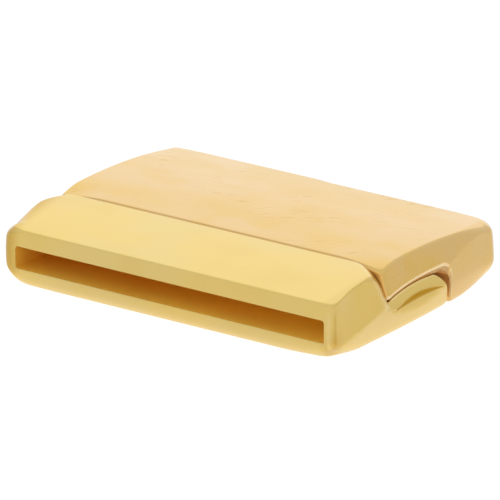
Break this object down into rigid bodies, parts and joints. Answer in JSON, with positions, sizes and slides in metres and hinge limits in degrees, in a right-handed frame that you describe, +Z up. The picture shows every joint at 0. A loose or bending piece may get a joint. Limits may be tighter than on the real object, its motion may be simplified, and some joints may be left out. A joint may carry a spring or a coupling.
{
  "type": "magnetic clasp",
  "caption": "Flat strap clasp in gold-plated metal, whose overlapping halves are held shut by hidden magnets, with a strap slot in the front and rear faces.",
  "frame": {"origin": "under the middle of the clasp, on the surface that it lies on", "axes": "+X along the strap slots, +Y from the front face to the rear face, +Z up through the top"},
  "size_m": [0.0442, 0.0318, 0.0077],
  "materials": {
    "tongue_metal": "polished pale gold plating",
    "cover_metal": "polished pale rose gold plating with fine scratches",
    "magnet": "bright nickel plating"
  },
  "bodies": {
    "tongue_side": {"tongue_half": "tongue_metal", "tongue_magnet_1": "magnet", "tongue_magnet_2": "magnet", "tongue_magnet_3": "magnet", "tongue_magnet_4": "magnet"},
    "cover_side": {"cover_half": "cover_metal", "cover_magnet_1": "magnet", "cover_magnet_2": "magnet", "cover_magnet_3": "magnet", "cover_magnet_4": "magnet"}
  },
  "joints": [
    {"name": "pull_apart", "type": "slide", "parent": "tongue_side", "child": "cover_side", "axis": [0, 0, 1], "range_m": [0, 0.012]}
  ]
}
